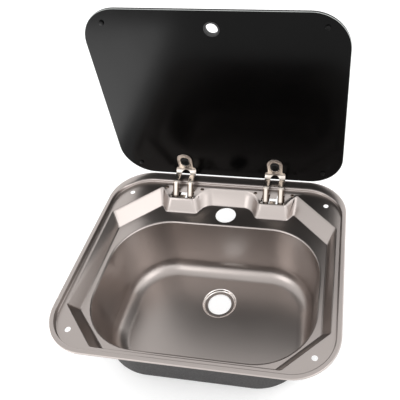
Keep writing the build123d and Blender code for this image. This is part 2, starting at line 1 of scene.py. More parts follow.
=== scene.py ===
# %% [markdown]
# # A camper's drop-in sink with a black glass lid
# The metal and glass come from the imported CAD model, which fixes every size. This script dresses
# it: a camera where the photograph was taken, satin stainless steel, enamelled glass, rubber and
# nylon, softer edges on the hinge pieces, and screws, nuts and buffers grown by Geometry Nodes.

# %% Load the frame
import math
import json
import bpy
import bmesh
import mathutils.kdtree
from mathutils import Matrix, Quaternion, Vector

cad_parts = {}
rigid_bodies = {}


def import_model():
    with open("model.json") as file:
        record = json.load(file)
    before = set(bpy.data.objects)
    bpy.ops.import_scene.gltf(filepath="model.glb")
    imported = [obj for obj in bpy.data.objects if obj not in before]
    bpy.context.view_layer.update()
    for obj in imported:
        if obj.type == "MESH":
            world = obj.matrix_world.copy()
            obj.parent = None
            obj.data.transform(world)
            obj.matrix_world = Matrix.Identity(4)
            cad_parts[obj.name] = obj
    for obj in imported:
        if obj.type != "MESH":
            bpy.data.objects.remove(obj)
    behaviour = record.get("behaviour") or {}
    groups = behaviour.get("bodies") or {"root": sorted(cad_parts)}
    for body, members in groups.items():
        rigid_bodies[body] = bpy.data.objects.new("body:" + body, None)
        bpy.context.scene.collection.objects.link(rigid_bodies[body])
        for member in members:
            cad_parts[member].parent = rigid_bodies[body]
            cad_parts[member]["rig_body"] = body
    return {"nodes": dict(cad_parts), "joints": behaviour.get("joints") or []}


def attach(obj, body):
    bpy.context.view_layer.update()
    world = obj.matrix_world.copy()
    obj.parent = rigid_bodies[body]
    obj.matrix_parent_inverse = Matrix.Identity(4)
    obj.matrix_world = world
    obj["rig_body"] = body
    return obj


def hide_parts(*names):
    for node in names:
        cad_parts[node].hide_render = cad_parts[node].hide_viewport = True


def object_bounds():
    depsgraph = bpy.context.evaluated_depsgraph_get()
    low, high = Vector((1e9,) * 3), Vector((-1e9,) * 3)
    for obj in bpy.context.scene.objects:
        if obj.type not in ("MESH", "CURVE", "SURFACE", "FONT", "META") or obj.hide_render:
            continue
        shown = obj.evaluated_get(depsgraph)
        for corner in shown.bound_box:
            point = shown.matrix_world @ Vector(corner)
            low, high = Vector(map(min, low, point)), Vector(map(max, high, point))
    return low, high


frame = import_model()
nodes = frame["nodes"]
cad_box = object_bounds()
print("CAD nodes", len(nodes))

# %% [markdown]
# ## Camera
# The photograph looks down into the bowl from the front right, at about chest height. The camera's
# place was solved from the rim's corners, the round holes and the lid, so a round hole here is the
# same ellipse as there. The picture was cropped off centre, which the small shift repeats.

# %% Place the camera
PHOTO_FOCAL_PX = 515.37
PHOTO_SIZE_PX = 400
SENSOR_MM = 36
CROP_SHIFT = (-0.1375, -0.075)
CAMERA_PLACE = (0.18441, -0.49715, 0.63400)
CAMERA_TURN = (0.908995, 0.408720, 0.056089, 0.059410)
camera_data = bpy.data.cameras.new("photo_camera")
camera_data.sensor_width = SENSOR_MM
camera_data.lens = PHOTO_FOCAL_PX * SENSOR_MM / PHOTO_SIZE_PX
camera_data.shift_x, camera_data.shift_y = CROP_SHIFT
camera_data.clip_start, camera_data.clip_end = 0.01, 50
camera = bpy.data.objects.new("photo_camera", camera_data)
bpy.context.scene.collection.objects.link(camera)
camera.location = CAMERA_PLACE
camera.rotation_mode = "QUATERNION"
camera.rotation_quaternion = Quaternion(CAMERA_TURN)
bpy.context.scene.camera = camera
bpy.context.scene.view_settings.view_transform = "Standard"
print("camera at", tuple(round(v, 3) for v in camera.location))

# %% [markdown]
# ## Places from the CAD model
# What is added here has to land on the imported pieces, so their places are measured on them: the
# joint gives the lid's travel from open, which is rest, to shut, and a node's box its middle.

# %% Measure the hinges
def box_of(node_name):
    """The lowest and the highest x, y and z of a CAD node at rest, in metres."""
    spots = [vert.co for vert in nodes[node_name].data.vertices]
    low = [min(spot[axis] for spot in spots) for axis in range(3)]
    high = [max(spot[axis] for spot in spots) for axis in range(3)]
    return low, high


def middle_of(node_name):
    """The middle of a CAD node's box, to a hundredth of a millimetre."""
    low, high = box_of(node_name)
    return tuple(round((a + b) / 2, 5) for a, b in zip(low, high))


lid_hinge = next(joint for joint in frame["joints"] if joint["name"] == "lid_hinge")
TRAVEL = math.radians(lid_hinge["range_deg"][1])
HINGE_X = middle_of("hinge_leaf_right")[0]
print("hinges at x", HINGE_X, "travel", lid_hinge["range_deg"][1], "degrees")

# %% [markdown]
# ## Colour and node helpers
# Shaders work in linear light, while the colours given here are sRGB, so one function converts hex
# codes. A second one adds a node, of a shader or of Geometry Nodes, with its settings and links.

# %% Helpers for colours and nodes
def colour(code, alpha=1.0):
    """An sRGB hex code as linear red, green, blue and alpha."""
    parts = [int(code[i : i + 2], 16) / 255 for i in (1, 3, 5)]
    linear = [c / 12.92 if c <= 0.04045 else ((c + 0.055) / 1.055) ** 2.4 for c in parts]
    return (*linear, alpha)


def add_node(tree, kind, settings=None, inputs=None):
    """Adds one node. settings sets its properties; inputs sets or links its sockets."""
    node = tree.nodes.new(kind)
    for name, value in (settings or {}).items():
        setattr(node, name, value)
    for name, value in (inputs or {}).items():
        if isinstance(value, bpy.types.NodeSocket):
            tree.links.new(value, node.inputs[name])
        else:
            node.inputs[name].default_value = value
    return node


def new_finish(name, metallic, roughness, base, **sockets):
    """A Principled material; sockets are further inputs by name. Returns material, tree, shader."""
    material = bpy.data.materials.new(name)
    material.use_nodes = True
    tree = material.node_tree
    shader = tree.nodes["Principled BSDF"]
    shader.inputs["Metallic"].default_value = metallic
    shader.inputs["Roughness"].default_value = roughness
    shader.inputs["Base Color"].default_value = colour(base)
    for socket, value in sockets.items():
        shader.inputs[socket.replace("_", " ")].default_value = value
    return material, tree, shader


def spread(tree, value, low, high):
    """Stretches a noise value, which mostly lies between 0.3 and 0.7, to low and high."""
    stretched = add_node(
        tree,
        "ShaderNodeMapRange",
        None,
        {"Value": value, "From Min": 0.3, "From Max": 0.7, "To Min": low, "To Max": high},
    )
    return stretched.outputs["Result"]


def noise(tree, size, detail=2.0):
    """Noise on Object coordinates; size is the grain's length along x, y and z in metres."""
    where = add_node(tree, "ShaderNodeTexCoord")
    sized = add_node(
        tree,
        "ShaderNodeVectorMath",
        {"operation": "DIVIDE"},
        {0: where.outputs["Object"], 1: size},
    )
    grain = add_node(
        tree,
        "ShaderNodeTexNoise",
        None,
        {"Vector": sized.outputs["Vector"], "Scale": 1.0, "Detail": detail},
    )
    return grain.outputs["Fac"]


# %% [markdown]
# ## Stainless steels
# The sink is pressed from 0.8 mm austenitic stainless sheet (18 % chromium) with a satin finish.
# Its brush lines are about 0.05 mm apart, far too fine to show here, so they are drawn as streaks
# 0.6 mm wide that only stir the gloss. A bump would draw dashes on the large flats, so there is
# none. Slow clouds stand for the sheet stretching as it was drawn. The tight bends round the waste
# hole are polished smoother by the press tool, and their paler colour is a painted highlight. The
# hinges are stamped from thicker sheet and tumbled, which leaves no direction, only fine pits. The
# small screws are shinier than the nuts, and their darker colour is painted shade from their
# recesses.

# %% Make the steels
CLOUD_SIZE, CLOUD_SWAY = (0.07,) * 3, 0.03
PIT_DEPTH = 0.0001


def steel(name, base, roughness, grain_size, strength, bump=0.0):
    """A steel. grain_size is in metres; strength is how far the grain moves the roughness."""
    material, tree, shader = new_finish(name, 1.0, roughness, base)
    grain = spread(tree, noise(tree, grain_size, 3.0), 1 - strength, 1 + strength)
    clouds = spread(tree, noise(tree, CLOUD_SIZE), 1 - CLOUD_SWAY, 1 + CLOUD_SWAY)
    both = add_node(tree, "ShaderNodeMath", {"operation": "MULTIPLY"}, {0: grain, 1: clouds})
    rough = add_node(
        tree, "ShaderNodeMath", {"operation": "MULTIPLY"}, {0: both.outputs[0], 1: roughness}
    )
    tree.links.new(rough.outputs[0], shader.inputs["Roughness"])
    if bump:
        pits = add_node(
            tree, "ShaderNodeBump", None, {"Height": grain, "Strength": bump, "Distance": PIT_DEPTH}
        )
        tree.links.new(pits.outputs["Normal"], shader.inputs["Normal"])
    return material


STREAKS = (0.05, 0.0006, 0.0006)
PITS = (0.0009,) * 3
FINE_PITS = (0.0008,) * 3
STAMPED_COLOUR = "#D2C9C0"
sink_steel = steel("satin_stainless_pressing", "#ABA39F", 0.30, STREAKS, 0.008)
hinge_steel = steel("tumbled_stainless_stamping", STAMPED_COLOUR, 0.22, PITS, 0.20, 0.05)
# The leaf's steel, with painted shade along the arms' borders added below.
arm_shaded_steel = steel("stamped_stainless_painted_arm_shade", STAMPED_COLOUR, 0.22, PITS, 0.20, 0.05)
# Paler steel for the drain ring's bends: its colour is a painted highlight, its smoothness real.
ring_highlight_steel = steel("polished_bend_painted_highlight", "#EDE8E4", 0.17, STREAKS, 0.008)
# The screws' darker colour is painted shade from their recesses.
shaded_screw_steel = steel("screw_steel_painted_shade", "#8E8178", 0.16, FINE_PITS, 0.20, 0.03)
fixing_steel = steel("zinc_plated_steel", "#C9C6C2", 0.28, FINE_PITS, 0.20, 0.03)
print("steels made")

# %% [markdown]
# ## Painted shade on the hinge arms and sheared edges
# The two arms of each hinge leaf keep the steel's colour along the middle and are painted darker
# and brown along the borders, as painted shade where the rounded edges face away from the light. A
# painted image could show that, but the distance from the nearest arm's middle, read from Object
# coordinates, says the same in a few nodes and follows the real size. Higher up, the leaf's tab is
# plain. Where the shears cut the sheet, its edge is rougher, and its darker colour is painted shade.

# %% Paint shade along the arms' borders
ARM_SIDE = 0.01325
# How far from an arm's middle the painted shade on its borders begins and is full, in metres.
ARM_SHADE_START, ARM_SHADE_FULL = 0.0013, 0.0038
TAB_FROM, TAB_TO = 0.008, 0.014
arm_tree = arm_shaded_steel.node_tree
arm_place = add_node(arm_tree, "ShaderNodeTexCoord")
arm_axes = add_node(arm_tree, "ShaderNodeSeparateXYZ", None, {"Vector": arm_place.outputs["Object"]})
nearest = None
for middle in (side * HINGE_X + hand * ARM_SIDE for side in (-1, 1) for hand in (-1, 1)):
    off = add_node(
        arm_tree, "ShaderNodeMath", {"operation": "SUBTRACT"}, {0: arm_axes.outputs["X"], 1: middle}
    )
    gap = add_node(arm_tree, "ShaderNodeMath", {"operation": "ABSOLUTE"}, {0: off.outputs[0]})
    if nearest:
        gap = add_node(
            arm_tree, "ShaderNodeMath", {"operation": "MINIMUM"}, {0: nearest, 1: gap.outputs[0]}
        )
    nearest = gap.outputs[0]
# Painted shade: 0 along an arm's middle, 1 at its borders, none on the tab.
painted_border_shade = add_node(
    arm_tree,
    "ShaderNodeMapRange",
    {"interpolation_type": "SMOOTHSTEP"},
    {"Value": nearest, "From Min": ARM_SHADE_START, "From Max": ARM_SHADE_FULL, "To Min": 0.0, "To Max": 1.0},
)
below_tab = add_node(
    arm_tree,
    "ShaderNodeMapRange",
    {"interpolation_type": "SMOOTHSTEP"},
    {
        "Value": arm_axes.outputs["Z"],
        "From Min": TAB_FROM,
        "From Max": TAB_TO,
        "To Min": 1.0,
        "To Max": 0.0,
    },
)
arm_shade_share = add_node(
    arm_tree,
    "ShaderNodeMath",
    {"operation": "MULTIPLY"},
    {0: painted_border_shade.outputs[0], 1: below_tab.outputs[0]},
)
arm_shade_mix = add_node(
    arm_tree,
    "ShaderNodeMix",
    {"data_type": "RGBA"},
    {"Factor": arm_shade_share.outputs[0]},
)
arm_shade_mix.inputs["A"].default_value = colour(STAMPED_COLOUR)
# The brown of the painted shade on the arms' borders.
arm_shade_mix.inputs["B"].default_value = colour("#4A3C33")
arm_tree.links.new(arm_shade_mix.outputs["Result"], arm_tree.nodes["Principled BSDF"].inputs["Base Color"])
print("arms coloured")

# %% Make the sheared edges' steel
SHEAR_GRAIN = (0.0005,) * 3
# The sheared edges are rougher, and their darker colour is painted shade.
sheared_shade_steel, sheared_tree, sheared_shader = new_finish(
    "sheared_edge_painted_shade", 1.0, 0.5, "#6A5D55"
)
sheared = spread(sheared_tree, noise(sheared_tree, SHEAR_GRAIN), 0.42, 0.58)
sheared_tree.links.new(sheared, sheared_shader.inputs["Roughness"])
print("sheared edge made")

# %% [markdown]
# ## Enamelled glass, nylon, rubber and foam
# The lid is toughened soda-lime glass with black ceramic enamel fired on, so it reads as a black
# body under a clear gloss; the enamel side is a little softer than bare glass. Its ground edge
# scatters light and looks paler. Moulded nylon has a fine spark-eroded grain, black oxide on the
# screws is thin and half metallic, and the rubber is the dullest of all, apart from the buffers,
# which are cast in a polished mould and hardly show on the glass. The bowl's underside is a dull
# dark grey.

# %% Make the glass
SMEAR_SIZE = (0.05, 0.05, 0.08)
GROUND_GRAIN = (0.0006,) * 3
lid_glass, lid_tree, lid_shader = new_finish(
    "black_enamelled_glass", 0.0, 0.2, "#020202", IOR=1.5, Specular_IOR_Level=0.10
)
smears = spread(lid_tree, noise(lid_tree, SMEAR_SIZE, 3.0), 0.16, 0.20)
lid_tree.links.new(smears, lid_shader.inputs["Roughness"])
ground_edge, edge_tree, edge_shader = new_finish("ground_glass_edge", 0.0, 0.4, "#9A9D9B", IOR=1.5)
ground = add_node(
    edge_tree,
    "ShaderNodeBump",
    None,
    {"Height": noise(edge_tree, GROUND_GRAIN), "Strength": 0.2, "Distance": 0.0001},
)
edge_tree.links.new(ground.outputs["Normal"], edge_shader.inputs["Normal"])
print("glass made")

# %% Make the black finishes
PORE_DEPTH, GLOSS_SWAY = 0.0003, 0.15


def dull_black(name, base, roughness, grain_size, depth, metallic=0.0, index=1.5):
    """A black finish with a grain of that size in metres pressed into it."""
    material, tree, shader = new_finish(name, metallic, roughness, base, IOR=index)
    grain = noise(tree, (grain_size,) * 3)
    worn = spread(tree, grain, roughness * (1 - GLOSS_SWAY), roughness * (1 + GLOSS_SWAY))
    tree.links.new(worn, shader.inputs["Roughness"])
    pores = add_node(
        tree, "ShaderNodeBump", None, {"Height": grain, "Strength": depth, "Distance": PORE_DEPTH}
    )
    tree.links.new(pores.outputs["Normal"], shader.inputs["Normal"])
    return material


black_nylon = dull_black("moulded_black_nylon", "#0C0C0C", 0.42, 0.0006, 0.05, index=1.53)
black_screw = dull_black("black_oxide_steel", "#1A1A1A", 0.36, 0.0007, 0.05, metallic=0.7)
black_rubber = dull_black("black_epdm_rubber", "#101010", 0.6, 0.0009, 0.08)
polished_rubber = dull_black("polished_black_rubber", "#040404", 0.45, 0.0009, 0.04, index=1.25)
seal_foam = dull_black("closed_cell_foam", "#1B1B1B", 0.85, 0.0012, 0.4)
# The bowl's underside gets a dull dark grey.
dark_underside = dull_black("dull_dark_grey_underside", "#2A2828", 0.7, 0.0025, 0.3)
print("nylon, rubber, foam and undercoat made")

# %% [markdown]
# ## Smooth copies of the CAD pieces
# A CAD mesh is loose triangles with flat shading. A copy with its doubles merged can be shaded
# smooth, so each bend catches the light as one clean line. Normals weighted by face area keep flat
# faces flat right up to the bend, and a bevel rounds edges that the tumbling drum rounded.

# %% Copy a CAD node as a smooth piece
MERGE_GAP = 2e-6
FLAT_ANGLE = math.radians(0.3)
FLAT_WEIGHT = 80


def stand_for(piece, node_name):
    """The piece moves with the node's body and is shown in its place."""
    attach(piece, nodes[node_name]["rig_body"])
    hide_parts(node_name)


def sharp_edges(work, degrees):
    """The edges where two faces meet at more than that angle."""
    bend = math.radians(degrees)
    inner = [edge for edge in work.edges if len(edge.link_faces) == 2]
    return [edge for edge in inner if edge.calc_face_angle(0) > bend]


def round_edges(work, edges, width, segments, clamp):
    """Replaces the edges with bends of that width in metres."""
    bmesh.ops.bevel(
        work,
        geom=edges,
        offset=width,
        segments=segments,
        profile=0.5,
        affect="EDGES",
        clamp_overlap=clamp,
    )


def plain_mesh(piece):
    """A new mesh with the piece's modifiers applied."""
    evaluated = piece.evaluated_get(bpy.context.evaluated_depsgraph_get())
    return bpy.data.meshes.new_from_object(evaluated)


def smooth_copy(
    node_name, material, sharp_deg=32.0, bevel=0.0, segments=2, keep_flats=True, reshape=None
):
    """A merged, smooth-shaded copy of a CAD node that stands for it; bevel in metres.
    keep_flats holds flat faces flat up to their bends; reshape edits the merged mesh."""
    mesh = nodes[node_name].data.copy()
    mesh.name = node_name + "_dressed"
    work = bmesh.new()
    work.from_mesh(mesh)
    bmesh.ops.remove_doubles(work, verts=work.verts, dist=MERGE_GAP)
    bmesh.ops.dissolve_limit(work, angle_limit=FLAT_ANGLE, verts=work.verts, edges=work.edges)
    if bevel:
        round_edges(work, sharp_edges(work, sharp_deg), bevel, segments, True)
    if reshape:
        reshape(work)
    work.to_mesh(mesh)
    work.free()
    mesh.materials.clear()
    mesh.materials.append(material)
    mesh.shade_smooth()
    mesh.set_sharp_from_angle(angle=math.radians(sharp_deg))
    piece = bpy.data.objects.new(mesh.name, mesh)
    bpy.context.scene.collection.objects.link(piece)
    if keep_flats:
        weigh = piece.modifiers.new("weigh_normals", "WEIGHTED_NORMAL")
        weigh.mode = "FACE_AREA"
        weigh.weight = FLAT_WEIGHT
        weigh.keep_sharp = True
    stand_for(piece, node_name)
    return piece


# %% [markdown]
# ## The sink pressing
# Sheet metal never follows the press tool into a tight bend, so the photograph's bends are wider
# and softer than a plain model's. Moving the surface would take it off the CAD model, and the eye
# only reads where it seems to face, so the edges are added here and their normals leaned below.
# The bends round the waste hole are real, since their bright ring shows. The pedestals, the corner
# slopes and the tap bay get a border strip, and the rear ledge is cut into rows and columns.

# %% Find the waste ring, the pressed flats and the ledge
DRAIN_Y = 0.009
DRAIN_INSIDE, DRAIN_REACH = 0.024, 0.031
DRAIN_TOP = -0.1385
FLATS_FROM_Y = 0.06
FLATS_LOW, FLATS_HIGH = -0.029, -0.0065
FLATS_STEEPEST, FLATS_GENTLEST = 0.15, 0.9
FLATS_AREA = 1.2e-4
UNDER_LEDGE = -0.012


def from_drain(spot):
    """How far a spot is from the waste hole's axis."""
    return math.hypot(spot.x, spot.y - DRAIN_Y)


def on_drain_ring(edge):
    """True for the two bends round the waste hole, on both faces of the sheet."""
    return all(
        DRAIN_INSIDE < from_drain(vert.co) < DRAIN_REACH and vert.co.z < DRAIN_TOP
        for vert in edge.verts
    )


def on_pressed_flat(face):
    """True for the flat sides of the pedestals, the corner slopes and the tap bay."""
    middle = face.calc_center_median()
    placed = middle.y > FLATS_FROM_Y and FLATS_LOW < middle.z < FLATS_HIGH
    sloping = FLATS_STEEPEST < abs(face.normal.z) < FLATS_GENTLEST
    return placed and sloping and face.calc_area() > FLATS_AREA


def on_rear_ledge(face):
    """True for the faces near the ledge's level in the rear half of the sink."""
    return face.calc_center_median().z > UNDER_LEDGE and face.calc_center_bounds().y > 0


print("waste hole", round(DRAIN_Y, 4), "behind the rim's middle")

# %% Add the edges that the wide bends need
RING_BEND, RING_ANGLE = 0.0013, 20
BORDER = 0.0035
ROWS_Y = (0.140, 0.148, 0.156, 0.1635, 0.1675)
COLUMNS_X = (-0.122, -0.115, -0.108, 0.108, 0.115, 0.122)
ledge_cuts = [((0, y, 0), (0, 1, 0)) for y in ROWS_Y]
ledge_cuts += [((x, 0, 0), (1, 0, 0)) for x in COLUMNS_X]


def add_bends(work):
    """Rounds the drain ring, cuts the rear ledge into rows and frames the pressed flats."""
    ring = [edge for edge in sharp_edges(work, RING_ANGLE) if on_drain_ring(edge)]
    round_edges(work, ring, RING_BEND, 4, False)
    for place, across in ledge_cuts:
        near = [face for face in work.faces if on_rear_ledge(face)]
        parts = near + list({edge for face in near for edge in face.edges})
        parts += list({vert for face in near for vert in face.verts})
        bmesh.ops.bisect_plane(work, geom=parts, dist=1e-6, plane_co=place, plane_no=across)
    flats = [face for face in work.faces if on_pressed_flat(face)]
    bmesh.ops.inset_individual(work, faces=flats, thickness=BORDER, use_even_offset=True)
    print("drain edges rounded", len(ring), "flats framed", len(flats))


pressing = smooth_copy("sink_pressing", sink_steel, sharp_deg=28.0, reshape=add_bends)
weighed = plain_mesh(pressing)
pressing.modifiers.clear()
pressing.data = weighed
weighed.name = "sink_pressing_weighed"
print("pressing faces", len(weighed.polygons))

# %% [markdown]
# ## Wide bends in the sheet
# On the rear half's walls, between deck and ledge, each normal becomes the mean of the sheet's
# normals within 4.5 mm, which is what a wider bend would show. The sheet is sampled on a fine grid
# of points, and a search tree of those points finds the ones in reach. The deck and the ledge
# themselves stay flat.

# %% Sample the sheet's normals
SAMPLE_STEP, MOST_STEPS = 0.0012, 60
SAMPLES_FROM_Y = 0.05
LEAST_FACING = 0.05
SKIN = 1e-4


def highest(from_y, to_y, reach, below):
    """The level of the highest vertex with y in that window, x in reach and z below a limit."""
    spots = [vert.co for vert in weighed.vertices]
    window = [spot.z for spot in spots if from_y < spot.y < to_y and abs(spot.x) < reach]
    return max(level for level in window if level < below)


def sheet_samples(mesh):
    """Points on the upper side in the rear half, with their normals and shares of the area."""
    found = []
    mesh.calc_loop_triangles()
    for tri in mesh.loop_triangles:
        first, second, third = (mesh.vertices[index].co for index in tri.vertices)
        rearmost = max(first.y, second.y, third.y)
        lowest = min(first.z, second.z, third.z)
        if tri.normal.z < LEAST_FACING or rearmost < SAMPLES_FROM_Y or lowest < DECK_TOP - SKIN:
            continue
        longest = max((second - first).length, (third - first).length, (third - second).length)
        steps = min(max(1, math.ceil(longest / SAMPLE_STEP)), MOST_STEPS)
        share = tri.area / (steps * steps)
        for row in range(steps):
            for column in range(steps - row):
                for shift in (1 / 3, 2 / 3)[: 1 if column == steps - row - 1 else 2]:
                    across, up = (column + shift) / steps, (row + shift) / steps
                    point = first + (second - first) * across + (third - first) * up
                    found.append((point, tri.normal.copy(), share))
    return found


DECK_TOP = highest(0.095, 0.14, 0.03, -0.02)
LEDGE_TOP = highest(0.14, 0.16, 0.05, 0.0)
print("deck and ledge levels", round(DECK_TOP, 5), round(LEDGE_TOP, 5))
samples = sheet_samples(weighed)
sample_tree = mathutils.kdtree.KDTree(len(samples))
for index, sample in enumerate(samples):
    sample_tree.insert(sample[0], index)
sample_tree.balance()
print("normal samples", len(samples))

# %% Find the mean normal round a vertex
BEND_REACH = 0.0045
means = {}


def mean_normal(vertex_index):
    """The mean of the sheet's normals within reach of a vertex, nearer ones counting more."""
    if vertex_index not in means:
        spot = weighed.vertices[vertex_index].co
        total = Vector((0, 0, 0))
        for _, index, gap in sample_tree.find_range(spot, BEND_REACH):
            total += samples[index][1] * samples[index][2] * (1 - gap / BEND_REACH)
        means[vertex_index] = total
    return means[vertex_index]


print("normals averaged within", BEND_REACH, "m")

# %% [markdown]
# ## The rear ledge and the step behind it
# In the photograph the rear ledge rolls over into the walls in one wide bend, so between the hinges
# its normals lean towards the bowl. The top of the step behind it slopes so gently that it shows
# the black lid, so there they lean upwards. Each lean fades out over some millimetres.

# %% Share out the leans
WALLS_Y = (0.056, 0.066)
OFF_DECK = (DECK_TOP + 2e-4, DECK_TOP + 1.2e-3)
OFF_LEDGE = (LEDGE_TOP - 2e-4, LEDGE_TOP - 1.2e-3)
LEDGE_LEAN, LEDGE_BELOW = 0.72, -0.005
LEDGE_FRONT, LEDGE_REAR = (0.130, 0.146), (0.1685, 0.157)
LEDGE_SIDES, LEDGE_LEVEL = (0.122, 0.108), (-0.014, -0.0065)
STEP_LEAN = 0.9
STEP_FRONT, STEP_LEVEL = (0.12, 0.160), (-0.0032, -0.0016)


def ramp(value, low, high):
    """0 up to low, 1 past high and a smooth rise between; low may be the larger."""
    part = min(max((value - low) / (high - low), 0.0), 1.0)
    return part * part * (3 - 2 * part)


def wall_share(spot):
    """1 on the rear half's walls between deck and ledge, 0 on these two and in the front."""
    return ramp(spot.y, *WALLS_Y) * ramp(spot.z, *OFF_DECK) * ramp(spot.z, *OFF_LEDGE)


def ledge_share(spot):
    """How far the rear ledge leans at a spot: most between the hinges, none past their slots."""
    if spot.z >= LEDGE_BELOW:
        return 0.0
    along = ramp(spot.y, *LEDGE_REAR) * ramp(abs(spot.x), *LEDGE_SIDES)
    return LEDGE_LEAN * along * ramp(spot.z, *LEDGE_LEVEL) * ramp(spot.y, *LEDGE_FRONT)


def step_share(spot):
    """How far the top of the step leans upwards at a spot."""
    return STEP_LEAN * ramp(spot.y, *STEP_FRONT) * ramp(spot.z, *STEP_LEVEL)


middle_spot = Vector((0, 0.15, LEDGE_TOP))
print("the ledge's middle leans", round(ledge_share(middle_spot), 3))

# %% Lean the normals
WALLS_FACE, LEDGE_FACES, STEP_FACES = 0.08, 0.2, -0.1
FAINTEST, NO_LENGTH = 0.001, 1e-9
STEP_NORMAL = Vector((0, -0.12, 1))
leaning = []
for loop in weighed.loops:
    spot = weighed.vertices[loop.vertex_index].co
    normal = Vector(weighed.corner_normals[loop.index].vector)
    soft, lean, step = wall_share(spot), ledge_share(spot), step_share(spot)
    if soft > FAINTEST and normal.z > WALLS_FACE:
        wide = mean_normal(loop.vertex_index)
        if wide.length > NO_LENGTH:
            normal = normal.lerp(wide.normalized(), soft).normalized()
    if lean > FAINTEST and normal.z > LEDGE_FACES:
        normal = (normal + Vector((0, -lean * normal.z, 0))).normalized()
    faces_bowl = normal.x * spot.x + normal.y * spot.y < 0
    if step > FAINTEST and faces_bowl and normal.z > STEP_FACES:
        normal = normal.lerp(STEP_NORMAL, step).normalized()
    leaning.append(normal)
weighed.normals_split_custom_set(leaning)
print("corner normals set", len(leaning))

# %% Make the underside dark grey and paint a highlight on the drain ring's bends
DARK_UNDERSIDE_SLOT, RING_HIGHLIGHT_SLOT = 1, 2
FACES_DOWN, FACES_UP = -0.03, 0.97
weighed.materials.append(dark_underside)
weighed.materials.append(ring_highlight_steel)
# Faces of the drain ring's bends get the paler steel as a painted highlight.
for face in weighed.polygons:
    in_ring = from_drain(face.center) < DRAIN_REACH and face.center.z < DRAIN_TOP
    if face.normal.z < FACES_DOWN and face.center.z < UNDER_LEDGE:
        face.material_index = DARK_UNDERSIDE_SLOT
    elif in_ring and face.normal.z < FACES_UP:
        face.material_index = RING_HIGHLIGHT_SLOT
slots = [face.material_index for face in weighed.polygons]
print("dark_grey_underside faces", slots.count(DARK_UNDERSIDE_SLOT), "bright faces", slots.count(RING_HIGHLIGHT_SLOT))

# %% [markdown]
# ## The hinges
# The leaves and brackets are stamped and bent from thick sheet, then tumbled, which rounds every
# edge. A 0.7 mm bevel rounds the leaves, and the faces that the shears cut get the sheared steel,
# whose darker colour is painted shade. The turned and moulded pieces only need smooth shading.

# %% Dress the hinges
LEAF_BEVEL, BRACKET_BEVEL = 0.0007, 0.0002
SHEARED_FACING = 0.6
for side in ("left", "right"):
    leaf = smooth_copy(
        f"hinge_leaf_{side}", arm_shaded_steel, bevel=LEAF_BEVEL, segments=3, keep_flats=False
    )
    leaf.data.materials.append(sheared_shade_steel)
    # The leaf's side faces get the sheared steel, darker as painted shade.
    for face in leaf.data.polygons:
        if abs(face.normal.x) > SHEARED_FACING:
            face.material_index = 1
    smooth_copy(f"hinge_bracket_{side}", hinge_steel, bevel=BRACKET_BEVEL)
    smooth_copy(f"leaf_bush_{side}", black_nylon)
    smooth_copy(f"leaf_cap_{side}", black_nylon)
    smooth_copy(f"hinge_pin_{side}", fixing_steel)
    smooth_copy(f"pin_spacer_{side}", fixing_steel)
    smooth_copy(f"pin_washers_{side}", fixing_steel)
    smooth_copy(f"cap_gasket_{side}", black_rubber)
    smooth_copy(f"leaf_pad_{side}", black_rubber)
smooth_copy("finger_grommet", black_rubber)
smooth_copy("rim_seal", seal_foam)
print("hinges dressed")

# %% [markdown]
# ## A way to grow repeated pieces
# Screws, nuts and buffers are each one shape set down at several spots, which is what Geometry
# Nodes are for. A tree is built once with named inputs for its sizes. It runs on a mesh that holds
# only the spots, and its result is kept as a plain mesh, because an exported model has no instances.

# %% Helpers for Geometry Nodes
SMOOTH_BELOW = math.radians(32)
SOFTEN_ABOVE = math.radians(40)


def new_tree(name, sizes):
    """A Geometry Nodes tree with one named input for each size. Returns the tree and its inputs."""
    tree = bpy.data.node_groups.new(name, "GeometryNodeTree")
    tree.interface.new_socket("Spots", in_out="INPUT", socket_type="NodeSocketGeometry")
    tree.interface.new_socket("Turn", in_out="INPUT", socket_type="NodeSocketVector")
    for size in sizes:
        tree.interface.new_socket(size, in_out="INPUT", socket_type="NodeSocketFloat")
    tree.interface.new_socket("Pieces", in_out="OUTPUT", socket_type="NodeSocketGeometry")
    return tree, add_node(tree, "NodeGroupInput").outputs


def round_bar(tree, radius, length, lift, sides=40):
    """A bar along z whose middle lies lift times its length above z = 0."""
    bar = add_node(
        tree, "GeometryNodeMeshCylinder", None, {"Vertices": sides, "Radius": radius, "Depth": length}
    )
    middle = add_node(tree, "ShaderNodeMath", {"operation": "MULTIPLY"}, {0: length, 1: lift})
    place = add_node(tree, "ShaderNodeCombineXYZ", None, {"Z": middle.outputs[0]})
    moved = add_node(
        tree,
        "GeometryNodeTransform",
        None,
        {"Geometry": bar.outputs["Mesh"], "Translation": place.outputs["Vector"]},
    )
    return moved.outputs["Geometry"]


def domed(tree, blank, radius, height, wider, taller=1.0, ball_first=True):
    """What a blank shares with a flattened ball, wider and taller than the sizes by factors.
    ball_first is the order in which the two go into the Boolean."""
    ball = add_node(
        tree, "GeometryNodeMeshUVSphere", None, {"Segments": 40, "Rings": 24, "Radius": 1.0}
    )
    across = add_node(tree, "ShaderNodeMath", {"operation": "MULTIPLY"}, {0: radius, 1: wider})
    upward = add_node(tree, "ShaderNodeMath", {"operation": "MULTIPLY"}, {0: height, 1: taller})
    size = add_node(
        tree,
        "ShaderNodeCombineXYZ",
        None,
        {"X": across.outputs[0], "Y": across.outputs[0], "Z": upward.outputs[0]},
    )
    pressed = add_node(
        tree,
        "GeometryNodeTransform",
        None,
        {"Geometry": ball.outputs["Mesh"], "Scale": size.outputs["Vector"]},
    )
    shared = add_node(tree, "GeometryNodeMeshBoolean", {"operation": "INTERSECT"})
    shapes = [pressed.outputs["Geometry"], blank]
    for shape in shapes if ball_first else reversed(shapes):
        tree.links.new(shape, shared.inputs["Mesh 2"])
    return shared.outputs["Mesh"]


